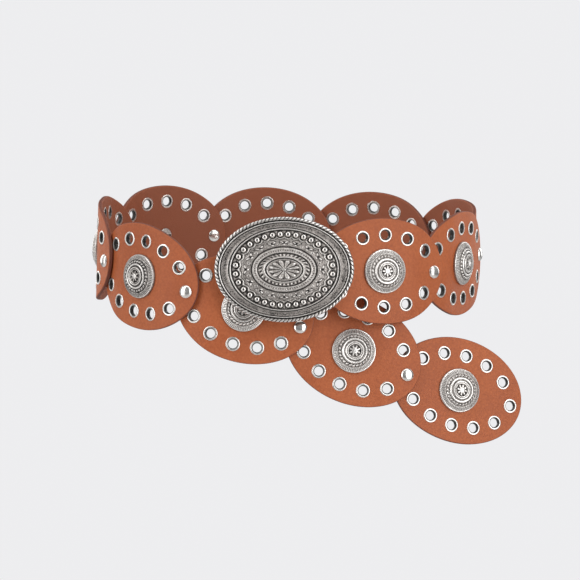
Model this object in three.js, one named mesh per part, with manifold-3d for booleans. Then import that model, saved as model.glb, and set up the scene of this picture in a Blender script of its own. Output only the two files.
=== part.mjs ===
// A belt of overlapping oval faux leather discs, riveted end to end and fastened round a waist,
// with a cast oval buckle in front and its free end hanging to one side.
// Millimetres. +Z is up and -Y is the front. The origin is the middle of the waist, level with
// the buckle. Angles are degrees.

import * as THREE from 'three';
import { mergeVertices } from 'three/addons/utils/BufferGeometryUtils.js';
import Module from 'manifold-3d';

const wasm = await Module();
wasm.setup();

// Driving dimensions of a disc
const seatGap = 0.3;
const leatherThickness = 2.6;
const halfThickness = leatherThickness / 2;
const discOutline = { halfLength: 46, halfHeight: 34 };
const rivetReach = 38;
const eyeletRing = { halfLength: 36.4, halfHeight: 23.2 };
const holePlaces = 12;
const farPlace = holePlaces / 2;
const eyeletHoleRadius = 3.6;
const rivetHoleRadius = 2.6;
const holeSides = 8;
const innerLine = { halfLength: 29, halfHeight: 17 };
const flatCentreRadius = 12;
const bendLength = innerLine.halfLength - flatCentreRadius;
const screwHole = { radius: 2.6, sides: 6 };
const lapStep = leatherThickness + 0.7;

// Half outlines of the turned pieces: distance from the axis, and height over the disc's outer face
const conchoSides = 12;
const conchoOutline = [
  { radius: 0, height: 5.2 },
  { radius: 8.4, height: 4.2 },
  { radius: 14.2, height: 1.3 },
  { radius: 14.2, height: seatGap },
];
const screwShank = 1.9;
const screwHead = [
  { radius: 4.6, height: 0 },
  { radius: 4.6, height: 1.2 },
  { radius: 0, height: 1.2 },
];
const rivetSides = 8;
const rivetHead = [
  { radius: 0, height: 2.5 },
  { radius: 2.6, height: 2.1 },
  { radius: 4.35, height: seatGap },
];
const rivetShank = 2.0;
const rivetBackHead = [
  { radius: 4.2, height: 0 },
  { radius: 0, height: 1.5 },
];

// How each disc lies: yaw turns it round the waist, lean tips its face up, roll lowers its tail end.
// tailShare is the part of the turn to the next disc that this disc's tail bends through.
const chain = [
  { name: '01', yaw: 21.9, lean: 3.6, roll: -2.7, tailShare: 0.5 },
  { name: '02', yaw: 63.1, lean: -0.6, roll: 4.8, tailShare: 0.28 },
  { name: '03', yaw: 117.8, lean: 1.5, roll: 1.2, tailShare: 0.5 },
  { name: '04', yaw: 161.4, lean: 3.0, roll: 2.4, tailShare: 0.5 },
  { name: '05', yaw: 186.0, lean: 3.0, roll: 2.3, tailShare: 0.5 },
  { name: '06', yaw: 212.9, lean: 3.0, roll: 2.2, tailShare: 0.45 },
  { name: '07', yaw: 261.7, lean: 1.1, roll: -8.6, tailShare: 0.6 },
  { name: '08', yaw: 315.6, lean: 2.8, roll: -12.0, tailShare: 0.5 },
  { name: '09', yaw: 360.9, lean: 5.4, roll: -17.4, tailShare: 0.5 },
  { name: '10', yaw: 367.1, lean: 8.4, roll: -24.6, tailShare: 0.5 },
  { name: '11', yaw: 382.9, lean: 10.6, roll: -18.1, tailShare: 0 },
];
const firstCentre = new THREE.Vector3(60.1, -87.2, 0);
const headTurn = { yaw: 8, lean: 3.6, roll: 0 };

// The buckle: oval rings from its rim to its middle, with each ring's height over its flat back
const buckle = {
  centre: new THREE.Vector3(-3.8, -105.8, 2.5),
  turn: { yaw: 0, lean: 3, roll: 0 },
  sides: 24,
  bendAcross: 150,
  bendUp: 300,
  backHalf: 0.5,
};
const buckleRings = [
  { name: 'rim', halfWidth: 44.6, halfHeight: 33.6, height: 2.2 },
  { name: 'rope', halfWidth: 42.6, halfHeight: 31.4, height: 3.3 },
  { name: 'cove', halfWidth: 38.2, halfHeight: 28.2, height: 2.2 },
  { name: 'ridge', halfWidth: 34.5, halfHeight: 26.1, height: 3.6 },
  { name: 'channel', halfWidth: 31.2, halfHeight: 22.5, height: 2.8 },
  { name: 'plateau_edge', halfWidth: 29.1, halfHeight: 20.1, height: 3.9 },
  { name: 'plateau', halfWidth: 20.9, halfHeight: 15, height: 4.4 },
  { name: 'ladder', halfWidth: 19.4, halfHeight: 13.5, height: 5.2 },
  { name: 'field', halfWidth: 12.7, halfHeight: 8.1, height: 4.6 },
  { name: 'rosette', halfWidth: 10.8, halfHeight: 6.6, height: 5.6 },
];
const buckleRivetGap = 0.8;
const hook = {
  disc: '09',
  place: 3,
  radius: 1.7,
  sides: 8,
  lipLength: 8,
  lipWidth: 3.4,
  lipThickness: 1.8,
  lipGap: 0.8,
  sink: 1.2,
};

const leatherFinish = { color: 0xb8623a, roughness: 0.55, metalness: 0 };
const castFinish = { color: 0x8f8d88, roughness: 0.35, metalness: 1 };
const polishedFinish = { color: 0xd8d6d2, roughness: 0.2, metalness: 1 };

const belt = new THREE.Group();

// Axes of a piece: its length towards the tail, its height, and its outward normal
function axesOf({ yaw, lean, roll }) {
  const [yawAngle, leanAngle, rollAngle] = [yaw, lean, roll].map(THREE.MathUtils.degToRad);
  const level = new THREE.Vector3(Math.cos(yawAngle), Math.sin(yawAngle), 0);
  const outward = new THREE.Vector3(Math.sin(yawAngle), -Math.cos(yawAngle), 0);
  const up = new THREE.Vector3(0, 0, 1);
  const normal = outward.clone().multiplyScalar(Math.cos(leanAngle));
  normal.addScaledVector(up, Math.sin(leanAngle));
  const rise = up.multiplyScalar(Math.cos(leanAngle)).addScaledVector(outward, -Math.sin(leanAngle));
  const length = level.clone().multiplyScalar(Math.cos(rollAngle));
  length.addScaledVector(rise, Math.sin(rollAngle));
  const height = new THREE.Vector3().crossVectors(normal, length);
  return new THREE.Matrix4().makeBasis(length, height, normal);
}

function normalOf(axes) {
  return new THREE.Vector3().setFromMatrixColumn(axes, 2);
}

// A face along a joint's normal, found in a disc's own axes: which way it bends and how far
function bendTowards(axes, jointNormal, side) {
  const local = jointNormal.clone().transformDirection(axes.clone().transpose());
  const flat = new THREE.Vector2(local.x, local.y);
  const angle = Math.atan2(flat.length(), local.z);
  const direction = flat.lengthSq() > 0 ? flat.normalize() : new THREE.Vector2(side, 0);
  const outwardBend = direction.x * side < 0;
  if (outwardBend) direction.negate();
  return { direction, angle, sense: outwardBend ? -1 : 1 };
}

// A disc is flat under its concho, bends on a short arc each side of it, and is flat at its rivets
function bentPoint(place, height, bends) {
  const point = new THREE.Vector3(place.x, place.y, height);
  for (const { direction, angle, sense } of bends) {
    const reach = place.dot(direction);
    if (reach <= flatCentreRadius || angle === 0) continue;
    const arcRadius = bendLength / angle;
    const turned = Math.min((reach - flatCentreRadius) / bendLength, 1) * angle;
    const straight = Math.max(reach - innerLine.halfLength, 0);
    const along = flatCentreRadius + arcRadius * Math.sin(turned) + straight * Math.cos(angle);
    const drop = sense * (arcRadius * (1 - Math.cos(turned)) + straight * Math.sin(angle));
    const shift = along - reach + height * sense * Math.sin(turned);
    point.x = place.x + shift * direction.x;
    point.y = place.y + shift * direction.y;
    point.z = height * Math.cos(turned) - drop;
  }
  return point;
}

// Points spaced evenly by length round an oval, from its buckle end over the top to its tail end
function ovalStations({ halfLength, halfHeight }, count) {
  const fineSteps = 1440;
  const fine = [];
  for (let step = 0; step <= fineSteps; step += 1) {
    const angle = (2 * Math.PI * step) / fineSteps;
    fine.push(new THREE.Vector2(-halfLength * Math.cos(angle), halfHeight * Math.sin(angle)));
  }
  const lengths = [0];
  for (let step = 1; step <= fineSteps; step += 1) {
    lengths.push(lengths[step - 1] + fine[step].distanceTo(fine[step - 1]));
  }
  const stations = [];
  let step = 0;
  for (let index = 0; index < count; index += 1) {
    const target = (lengths[fineSteps] * index) / count;
    while (lengths[step + 1] < target) step += 1;
    const share = (target - lengths[step]) / (lengths[step + 1] - lengths[step]);
    stations.push(fine[step].clone().lerp(fine[step + 1], share));
  }
  return stations;
}

function circleStations(radius, count) {
  return Array.from({ length: count }, (_, index) => {
    const angle = Math.PI - (2 * Math.PI * index) / count;
    return new THREE.Vector2(radius * Math.cos(angle), radius * Math.sin(angle));
  });
}

// Middles of a disc's holes, and the points half way between them on the same ring
const ringStations = ovalStations(eyeletRing, 2 * holePlaces);
ringStations[0].set(-rivetReach, 0);
ringStations[holePlaces].set(rivetReach, 0);
const outlineStations = ovalStations(discOutline, 2 * holePlaces);
const innerStations = ovalStations(innerLine, 2 * holePlaces);

// A disc's flat face as triangles, with one loop of points round each hole and round the edge
function discFace(isRivetPlace) {
  const places = [];
  const triangles = [];
  const loops = [];
  const add = (point) => places.push(point) - 1;
  const outline = outlineStations.map(add);
  const ring = ringStations.map(add);
  const inner = innerStations.map(add);
  const centre = circleStations(flatCentreRadius, holePlaces).map(add);
  const post = circleStations(screwHole.radius, screwHole.sides).map(add);
  const wrap = (list, index) => list[(index + list.length) % list.length];

  for (let place = 0; place < holePlaces; place += 1) {
    const station = 2 * place;
    const border = [
      wrap(outline, station - 1), outline[station], outline[station + 1],
      ring[station + 1],
      inner[station + 1], inner[station], wrap(inner, station - 1),
      wrap(ring, station - 1),
    ];
    const middle = ringStations[station];
    const facing = outlineStations[station].clone().sub(middle).angle();
    const radius = isRivetPlace(place) ? rivetHoleRadius : eyeletHoleRadius;
    const hole = border.map((_, corner) => {
      const angle = facing + ((1 - corner) * 2 * Math.PI) / holeSides;
      return add(new THREE.Vector2(Math.cos(angle), Math.sin(angle)).multiplyScalar(radius).add(middle));
    });
    for (let corner = 0; corner < holeSides; corner += 1) {
      const next = (corner + 1) % holeSides;
      triangles.push([border[corner], hole[corner], hole[next]]);
      triangles.push([border[corner], hole[next], border[next]]);
    }
    loops.push(hole);
  }

  for (const [outer, within] of [[inner, centre], [centre, post]]) {
    for (let index = 0; index < within.length; index += 1) {
      const near = outer[2 * index];
      const after = outer[2 * index + 1];
      triangles.push([wrap(outer, 2 * index - 1), within[index], near]);
      triangles.push([near, within[index], after]);
      triangles.push([after, within[index], wrap(within, index + 1)]);
    }
  }
  loops.push(post);
  const used = new Set(ring.filter((_, station) => station % 2 === 0));
  return { places, triangles, loops, edge: outline, unused: used };
}

// Both faces of a plate with the walls of its holes and its edge between them
function plateGeometry(face, bends) {
  const kept = face.places.map((_, index) => index).filter((index) => !face.unused.has(index));
  const slot = new Map(kept.map((index, position) => [index, position]));
  const positions = [];
  for (const height of [halfThickness, -halfThickness]) {
    for (const index of kept) positions.push(...bentPoint(face.places[index], height, bends).toArray());
  }
  const front = (index) => slot.get(index);
  const back = (index) => slot.get(index) + kept.length;
  const faces = [];
  for (const [a, b, c] of face.triangles) {
    faces.push(front(a), front(b), front(c));
    faces.push(back(a), back(c), back(b));
  }
  const wall = (loop, outwards) => {
    loop.forEach((a, index) => {
      const b = loop[(index + 1) % loop.length];
      const [first, second] = outwards ? [a, b] : [b, a];
      faces.push(front(first), front(second), back(second));
      faces.push(front(first), back(second), back(first));
    });
  };
  wall(face.edge, true);
  face.loops.forEach((loop) => wall(loop, false));
  return meshData(positions, faces);
}

function meshData(positions, faces) {
  const geometry = new THREE.BufferGeometry();
  geometry.setAttribute('position', new THREE.Float32BufferAttribute(positions, 3));
  geometry.setIndex(faces);
  geometry.computeVertexNormals();
  return geometry;
}

function addPiece(name, geometry, axes, centre, finish) {
  const mesh = new THREE.Mesh(geometry, new THREE.MeshStandardMaterial(finish));
  mesh.name = name;
  mesh.quaternion.setFromRotationMatrix(axes);
  mesh.position.copy(centre);
  belt.add(mesh);
}

// A turned piece along its own +Z, from a half outline that starts and ends on the axis
function turned(outline, sides) {
  const points = outline.map(({ radius, height }) => new THREE.Vector2(radius, height));
  const geometry = new THREE.LatheGeometry(points.reverse(), sides);
  return geometry.rotateX(Math.PI / 2);
}

// Front outline over a stack of leather, then the shank through it and a flat head behind it
function throughFastener(front, shank, backHead, stackBack, sides) {
  const outline = front.map(({ radius, height }) => ({ radius, height: height + halfThickness }));
  const shankTop = outline[outline.length - 1].height;
  const backSeat = stackBack - seatGap;
  outline.push({ radius: shank, height: shankTop });
  outline.push({ radius: shank, height: backSeat });
  backHead.forEach(({ radius, height }) => outline.push({ radius, height: backSeat - height }));
  return turned(outline, sides);
}

// A joint's normal lies between those of the two discs that meet there
const discs = chain.map((row) => ({ ...row, axes: axesOf(row) }));
discs.forEach((disc, index) => {
  const own = normalOf(disc.axes);
  const before = discs[index - 1];
  const after = discs[index + 1];
  disc.headNormal = before ? before.tailNormal : normalOf(axesOf(headTurn));
  disc.tailNormal = after ? own.clone().lerp(normalOf(after.axes), disc.tailShare).normalize() : own;
  disc.bends = [bendTowards(disc.axes, disc.headNormal, -1), bendTowards(disc.axes, disc.tailNormal, 1)];
});

function placeOnDisc(disc, place, height) {
  return bentPoint(place, height, disc.bends).applyMatrix4(disc.axes).add(disc.centre);
}

const headRivetPlace = new THREE.Vector2(-rivetReach, 0);
const tailRivetPlace = new THREE.Vector2(rivetReach, 0);

// Each disc's tail lies over the head of the next, one lap step further out
discs.forEach((disc, index) => {
  if (index === 0) {
    disc.centre = firstCentre.clone();
    return;
  }
  const before = discs[index - 1];
  const seat = placeOnDisc(before, tailRivetPlace, 0).addScaledVector(before.tailNormal, -lapStep);
  const reach = bentPoint(headRivetPlace, 0, disc.bends).applyMatrix4(disc.axes);
  disc.centre = seat.sub(reach);
});

// Leather discs and the domed conchos screwed through their middles
const lastDisc = discs[discs.length - 1];
discs.forEach((disc) => {
  const isRivetPlace = (place) => place === 0 || (place === farPlace && disc !== lastDisc);
  const geometry = plateGeometry(discFace(isRivetPlace), disc.bends);
  addPiece(`disc_${disc.name}`, geometry, disc.axes, disc.centre, leatherFinish);
  const concho = throughFastener(conchoOutline, screwShank, screwHead, -halfThickness, conchoSides);
  addPiece(`concho_${disc.name}`, concho, disc.axes, disc.centre, castFinish);
});

// Axes that stand on a joint's normal
function axesAlong(normal) {
  const turn = new THREE.Quaternion().setFromUnitVectors(new THREE.Vector3(0, 0, 1), normal);
  return new THREE.Matrix4().makeRotationFromQuaternion(turn);
}

// A rivet through each lap, from the outer disc's face to behind the disc under it
discs.slice(0, -1).forEach((disc) => {
  const stackBack = -lapStep - halfThickness;
  const geometry = throughFastener(rivetHead, rivetShank, rivetBackHead, stackBack, rivetSides);
  const middle = placeOnDisc(disc, tailRivetPlace, 0);
  addPiece(`link_rivet_${disc.name}`, geometry, axesAlong(disc.tailNormal), middle, polishedFinish);
});

// The buckle casting is dished: each point drops with its distance from the middle
const buckleAxes = axesOf(buckle.turn);
const buckleMatrix = buckleAxes.clone().setPosition(buckle.centre);
const toBuckle = buckleMatrix.clone().invert();

function dishDrop(x, y) {
  return (x * x) / (2 * buckle.bendAcross) + (y * y) / (2 * buckle.bendUp);
}

function buckleCasting() {
  const positions = [];
  const faces = [];
  const addRing = (halfWidth, halfHeight, height) => {
    const start = positions.length / 3;
    for (let side = 0; side < buckle.sides; side += 1) {
      const angle = (2 * Math.PI * side) / buckle.sides;
      const x = halfWidth * Math.cos(angle);
      const y = halfHeight * Math.sin(angle);
      positions.push(x, y, height - dishDrop(x, y));
    }
    return start;
  };
  const join = (outer, inner) => {
    for (let side = 0; side < buckle.sides; side += 1) {
      const next = (side + 1) % buckle.sides;
      faces.push(outer + side, outer + next, inner + next);
      faces.push(outer + side, inner + next, inner + side);
    }
  };
  const cap = (ring, height, facesOut) => {
    const middle = positions.push(0, 0, height) / 3 - 1;
    for (let side = 0; side < buckle.sides; side += 1) {
      const next = (side + 1) % buckle.sides;
      const [first, second] = facesOut ? [side, next] : [next, side];
      faces.push(ring + first, ring + second, middle);
    }
  };
  const rim = buckleRings[0];
  const rosette = buckleRings[buckleRings.length - 1];
  const backMiddle = addRing(rim.halfWidth * buckle.backHalf, rim.halfHeight * buckle.backHalf, 0);
  cap(backMiddle, 0, false);
  let previous = addRing(rim.halfWidth, rim.halfHeight, 0);
  join(backMiddle, previous);
  for (const { halfWidth, halfHeight, height } of buckleRings) {
    const ring = addRing(halfWidth, halfHeight, height);
    join(previous, ring);
    previous = ring;
  }
  cap(previous, rosette.height, true);
  return meshData(positions, faces);
}

function toSolid(geometry) {
  const bare = geometry.clone();
  bare.deleteAttribute('normal');
  bare.deleteAttribute('uv');
  const merged = mergeVertices(bare);
  const vertProperties = new Float32Array(merged.attributes.position.array);
  const triVerts = new Uint32Array(merged.index.array);
  return new wasm.Manifold(new wasm.Mesh({ numProp: 3, vertProperties, triVerts }));
}

function fromSolid(solid) {
  const { vertProperties, triVerts } = solid.getMesh();
  return meshData(Array.from(vertProperties), Array.from(triVerts));
}

// The hook is soldered to the buckle's back, goes through an eyelet and turns up behind the leather
function hookPieces() {
  const hooked = discs.find(({ name }) => name === hook.disc);
  const eyelet = ringStations[2 * hook.place];
  const lipHeight = -halfThickness - hook.lipGap - hook.lipThickness / 2;
  const inner = placeOnDisc(hooked, eyelet, lipHeight).applyMatrix4(toBuckle);
  const outerHeight = hook.sink - dishDrop(inner.x, inner.y);
  const length = outerHeight - inner.z;
  const post = new THREE.CylinderGeometry(hook.radius, hook.radius, length, hook.sides);
  post.rotateX(Math.PI / 2).translate(inner.x, inner.y, inner.z + length / 2);
  const lip = new THREE.BoxGeometry(hook.lipWidth, hook.lipLength, hook.lipThickness);
  lip.translate(inner.x, inner.y + (hook.lipLength - hook.lipWidth) / 2, inner.z);
  return [post, lip];
}

const buckleSolid = hookPieces().reduce(
  (solid, piece) => solid.add(toSolid(piece)),
  toSolid(buckleCasting()),
);
addPiece('buckle', fromSolid(buckleSolid), buckleAxes, buckle.centre, castFinish);

// The buckle's rivet holds it to the head of the first disc
function buckleRivetGeometry(disc) {
  const middle = placeOnDisc(disc, headRivetPlace, 0);
  const inBuckle = middle.clone().applyMatrix4(toBuckle);
  const buckleBack = -dishDrop(inBuckle.x, inBuckle.y) - inBuckle.z;
  const front = [{ radius: 0, height: buckleBack - buckleRivetGap - halfThickness }];
  const geometry = throughFastener(front, rivetShank, rivetBackHead, -halfThickness, rivetSides);
  return { geometry, middle };
}

const buckleRivet = buckleRivetGeometry(discs[0]);
const buckleRivetAxes = axesAlong(discs[0].headNormal);
addPiece('buckle_rivet', buckleRivet.geometry, buckleRivetAxes, buckleRivet.middle, polishedFinish);

export default belt;
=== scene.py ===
"""The looks of a waist belt of eleven oval faux leather discs with a cast oval buckle.

Sizes are in millimetres until a mesh is made, and in metres for the camera, floor and lamps. +Z is
up, -Y is the front, and the origin is the middle of the waist. A disc's own axes are its length
towards the belt's tail, its height, and its outward normal. Tables and calls give turns in
degrees, and formulas work in radians.
"""

import bmesh
import bpy
import numpy as np
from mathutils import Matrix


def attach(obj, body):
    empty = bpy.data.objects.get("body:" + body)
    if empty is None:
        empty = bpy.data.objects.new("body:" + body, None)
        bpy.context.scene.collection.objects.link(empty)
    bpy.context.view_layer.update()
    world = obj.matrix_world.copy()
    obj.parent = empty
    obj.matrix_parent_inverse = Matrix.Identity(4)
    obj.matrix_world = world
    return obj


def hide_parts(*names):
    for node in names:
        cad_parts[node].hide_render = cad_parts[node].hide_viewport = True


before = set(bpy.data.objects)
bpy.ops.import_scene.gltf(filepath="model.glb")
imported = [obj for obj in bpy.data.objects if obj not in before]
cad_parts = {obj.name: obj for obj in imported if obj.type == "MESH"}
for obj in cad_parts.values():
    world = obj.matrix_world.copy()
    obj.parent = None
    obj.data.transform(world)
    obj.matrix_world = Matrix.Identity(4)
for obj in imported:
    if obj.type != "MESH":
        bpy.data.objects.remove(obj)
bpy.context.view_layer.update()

# The view
# The belt is seen from the front and a little from above, as from a stand two metres away. The
# studio is a plain pale floor, a pale surround and large soft lamps.
camera_distance = 2.0
camera_tilt = 5
view_middle = np.array([-0.0001, -0.095, -0.0115])
seen_width = 0.3712
farthest_seen = 60


def add_object(name, data):
    """An object in the scene, with its mesh, camera or lamp data."""
    made = bpy.data.objects.new(name, data)
    bpy.context.scene.collection.objects.link(made)
    return made


def add_facing(name, data, middle, distance, turn, tilt):
    """A camera or lamp that faces a place, from a turn to the right of the front and a tilt up."""
    turn, tilt = np.radians([turn, tilt])
    away = np.array([np.sin(turn) * np.cos(tilt), -np.cos(turn) * np.cos(tilt), np.sin(tilt)])
    made = add_object(name, data)
    made.location = middle + distance * away
    made.rotation_euler = (np.pi / 2 - tilt, 0, turn)
    return made


camera_data = bpy.data.cameras.new("camera")
camera_data.lens = camera_data.sensor_width * camera_distance / seen_width
camera_data.clip_end = farthest_seen
bpy.context.scene.camera = add_facing(
    "camera", camera_data, view_middle, camera_distance, turn=0, tilt=camera_tilt
)
bpy.context.scene.view_settings.view_transform = "Standard"


def add_node(tree, kind, inputs=None, **settings):
    """A shader node with its settings, and with each input set to a value or linked to a socket."""
    made = tree.nodes.new(kind)
    for setting, value in settings.items():
        setattr(made, setting, value)
    for socket, value in (inputs or {}).items():
        if isinstance(value, bpy.types.NodeSocket):
            tree.links.new(value, made.inputs[socket])
        else:
            made.inputs[socket].default_value = value
    return made


def table(columns, *rows):
    """Rows of values, with a name for each column."""
    return [dict(zip(columns, row)) for row in rows]


def new_material(name):
    """An empty material's node tree, and the material."""
    material = bpy.data.materials.new(name)
    material.use_nodes = True
    material.node_tree.nodes.clear()
    return material, material.node_tree


def finish_material(tree, shader):
    """Puts a shader on the material's surface."""
    add_node(tree, "ShaderNodeOutputMaterial", {"Surface": shader.outputs[0]})


def lit_and_seen(tree, lighting, seen):
    """One shader for the light that reaches the belt, and another for what the camera sees."""
    camera_ray = add_node(tree, "ShaderNodeLightPath").outputs["Is Camera Ray"]
    inputs = {0: camera_ray, 1: lighting.outputs[0], 2: seen.outputs[0]}
    return add_node(tree, "ShaderNodeMixShader", inputs)


floor_height = -1.0
floor_half = 14.0
floor_corners = ((-1, -1), (1, -1), (1, 1), (-1, 1))
floor_grey = (0.62, 0.62, 0.62, 1)
paper = (0.85, 0.85, 0.865, 1)
floor_mesh = bpy.data.meshes.new("floor")
floor_mesh.from_pydata(
    [(x * floor_half, y * floor_half, floor_height) for x, y in floor_corners], [], [(0, 1, 2, 3)]
)
floor = add_object("floor", floor_mesh)
floor_material, tree = new_material("pale_floor")
bounce = add_node(tree, "ShaderNodeBsdfDiffuse", {"Color": floor_grey})
shown = add_node(tree, "ShaderNodeEmission", {"Color": paper, "Strength": 1.0})
finish_material(tree, lit_and_seen(tree, bounce, shown))
floor_mesh.materials.append(floor_material)

lamp_distance = 2.3
waist_middle = np.zeros(3)
lamps = table(
    ("name", "turn", "tilt", "width", "height", "radiance"),
    ("soft_box_front_left", -62, 15, 1.3, 3.2, 2.4),
    ("soft_box_front_right", 42, 11, 1.7, 3.2, 2.4),
    ("soft_box_top", 0, 80, 2.6, 1.2, 1.6),
    ("soft_box_back_left", -135, 20, 1.6, 2.4, 1.4),
    ("soft_box_back_right", 135, 20, 1.6, 2.4, 1.4),
)


def soft_box(name, turn, tilt, width, height, radiance):
    """A large lamp that faces the belt. Its power comes from how bright its face is."""
    lamp_data = bpy.data.lights.new(name, "AREA")
    lamp_data.shape = "RECTANGLE"
    lamp_data.size = width
    lamp_data.size_y = height
    lamp_data.energy = radiance * np.pi * width * height
    add_facing(name, lamp_data, waist_middle, lamp_distance, turn, tilt)


for lamp in lamps:
    soft_box(**lamp)

surround_white = (1.0, 1.0, 1.0, 1)
surround_glow = 0.25
world = bpy.data.worlds.new("pale_surround")
world.use_nodes = True
bpy.context.scene.world = world
tree = world.node_tree
tree.nodes.clear()
dim = add_node(tree, "ShaderNodeBackground", {"Color": surround_white, "Strength": surround_glow})
shown = add_node(tree, "ShaderNodeBackground", {"Color": paper, "Strength": 1.0})
surround = lit_and_seen(tree, dim, shown)
add_node(tree, "ShaderNodeOutputWorld", {"Surface": surround.outputs[0]})

# Leather discs
# Each disc is die-cut from two plies of coated cloth glued back to back, 2.6 mm thick, with a
# painted edge. It is stiff: flat under its concho, and bent on an arc each side to meet the next.
millimetre = 0.001
merge_distance = 2e-6
discs = table(
    ("name", "yaw", "lean", "roll", "tail_share"),
    ("01", 21.9, 3.6, -2.7, 0.5),
    ("02", 63.1, -0.6, 4.8, 0.28),
    ("03", 117.8, 1.5, 1.2, 0.5),
    ("04", 161.4, 3.0, 2.4, 0.5),
    ("05", 186.0, 3.0, 2.3, 0.5),
    ("06", 212.9, 3.0, 2.2, 0.45),
    ("07", 261.7, 1.1, -8.6, 0.6),
    ("08", 315.6, 2.8, -12.0, 0.5),
    ("09", 360.9, 5.4, -17.4, 0.5),
    ("10", 367.1, 8.4, -24.6, 0.5),
    ("11", 382.9, 10.6, -18.1, 0.0),
)
first_middle = np.array([60.1, -87.2, 0.0])
head_turn = {"yaw": 8.0, "lean": 3.6, "roll": 0.0}
half_thickness = 1.3
lap_gap = 0.7
lap_step = 2 * half_thickness + lap_gap
outline_size = (46.0, 34.0)
inner_size = (29.0, 17.0)
flat_radius = 12.0
bend_length = inner_size[0] - flat_radius
rivet_reach = 38.0
tail_rivet = np.array([rivet_reach, 0.0, 0.0])
head_rivet = np.array([-rivet_reach, 0.0, 0.0])
eyelet_ring_size = (36.4, 23.2)
hole_places = 12
tail_place = hole_places // 2
eyelet_hole_radius = 3.6
rivet_hole_radius = 2.6
screw_hole_radius = 2.6
hole_round = 0.3
hole_round_points = 4
arc_steps = 10
side_shares = np.linspace(0, 1, 6)[1:-1, None]
hole_shares = np.array([0, 0.1, 0.35, 0.6, 0.8, 0.93])
middle_shares = np.linspace(0, 0.97, 12)
outline_steps = hole_places * arc_steps
edge_inset = 0.85
edge_profile = table(
    ("inset", "out"),
    (edge_inset, half_thickness),
    (0.55, 1.28),
    (0.28, 1.19),
    (0.09, 1.0),
    (0.0, 0.7),
    (0.0, 0.3),
    (0.07, 0.12),
    (0.2, 0.0),
)
fine_angles = np.linspace(0, 2 * np.pi, 4 * 360 + 1)


def axes_of(yaw, lean, roll):
    """Rows are the length, height and normal of a piece turned round the waist by yaw, tipped face
    up by lean and tail down by minus roll."""
    yaw, lean, roll = np.radians([yaw, lean, roll])
    level = np.array([np.cos(yaw), np.sin(yaw), 0.0])
    outward = np.array([np.sin(yaw), -np.cos(yaw), 0.0])
    up = np.array([0.0, 0.0, 1.0])
    normal = np.cos(lean) * outward + np.sin(lean) * up
    rise = np.cos(lean) * up - np.sin(lean) * outward
    length = np.cos(roll) * level + np.sin(roll) * rise
    return np.array([length, np.cross(normal, length), normal])


def bend_towards(axes, joint_normal, side):
    """Which way, in its own plane, a disc's end bends to face a joint's normal, and how far."""
    across, up, out = axes @ joint_normal
    flat = np.hypot(across, up)
    direction = np.array([across, up]) / flat if flat > 0 else np.array([side, 0.0])
    sense = -1.0 if direction[0] * side < 0 else 1.0
    return {"direction": sense * direction, "angle": np.arctan2(flat, out), "sense": sense}


def at_depth(flat, out):
    """Flat points, each with its height over their plane."""
    return np.concatenate([flat, np.broadcast_to(out, flat.shape[:-1] + (1,))], axis=-1)


def lay(disc, flat):
    """Flat points (along, up, out) of a disc, where the bent disc holds them.

    Past the flat middle a point's reach goes round an arc of the bend's length, and past that
    straight on; its distance out stays square to the leather."""
    place = flat[..., :2]
    out = flat[..., 2]
    bent = flat
    for bend in disc["bends"]:
        reach = place @ bend["direction"]
        if bend["angle"] == 0:
            continue
        arc_radius = bend_length / bend["angle"]
        turned = np.clip((reach - flat_radius) / bend_length, 0, 1) * bend["angle"]
        straight = np.maximum(reach - inner_size[0], 0)
        along = flat_radius + arc_radius * np.sin(turned) + straight * np.cos(bend["angle"])
        drop = arc_radius * (1 - np.cos(turned)) + straight * np.sin(bend["angle"])
        shift = along - reach + out * bend["sense"] * np.sin(turned)
        height = out * np.cos(turned) - bend["sense"] * drop
        moved = at_depth(place + shift[..., None] * bend["direction"], height[..., None])
        bent = np.where((reach > flat_radius)[..., None], moved, bent)
    return bent @ disc["axes"] + disc["middle"]


def unit(vectors):
    """Vectors, each brought to a length of one."""
    return vectors / np.linalg.norm(vectors, axis=-1, keepdims=True)


def hang_discs():
    """Gives each disc its axes, bends and middle. It hangs under the tail of the one before it."""
    for disc in discs:
        disc["axes"] = axes_of(disc["yaw"], disc["lean"], disc["roll"])
    head_normal = axes_of(**head_turn)[2]
    for disc, after in zip(discs, discs[1:] + [discs[-1]]):
        share = disc["tail_share"]
        tail_normal = unit((1 - share) * disc["axes"][2] + share * after["axes"][2])
        disc["head_normal"] = head_normal
        disc["tail_normal"] = tail_normal
        disc["bends"] = [
            bend_towards(disc["axes"], head_normal, -1),
            bend_towards(disc["axes"], tail_normal, 1),
        ]
        head_normal = tail_normal
    discs[0]["middle"] = first_middle
    for before, disc in zip(discs, discs[1:]):
        disc["middle"] = np.zeros(3)
        seat = lay(before, tail_rivet) - lap_step * before["tail_normal"]
        disc["middle"] = seat - lay(disc, head_rivet)


hang_discs()


def ellipse(half_width, half_height, angle):
    """Points of an oval: its half width by the cosine, and its half height by the sine."""
    return np.stack([half_width * np.cos(angle), half_height * np.sin(angle)], axis=-1)


def lengths_along(line):
    """How far along a line of points each of them is."""
    steps = np.linalg.norm(np.diff(line, axis=0), axis=1)
    return np.concatenate([[0.0], np.cumsum(steps)])


def oval(size, shares, inset=0.0):
    """Points at shares of an oval's length round, from the buckle end over the top, set in square
    to it."""
    lengths = lengths_along(ellipse(-size[0], size[1], fine_angles))
    reached = np.interp(np.mod(shares, 1) * lengths[-1], lengths, fine_angles)
    point = ellipse(-size[0], size[1], reached)
    return point - inset * unit(point / np.square(size))


def hole_middles():
    """The twelve holes of a disc on its eyelet ring, with the two end ones moved to the rivets."""
    middles = oval(eyelet_ring_size, np.arange(hole_places) / hole_places)
    middles[0] = head_rivet[:2]
    middles[tail_place] = tail_rivet[:2]
    return middles


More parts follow.
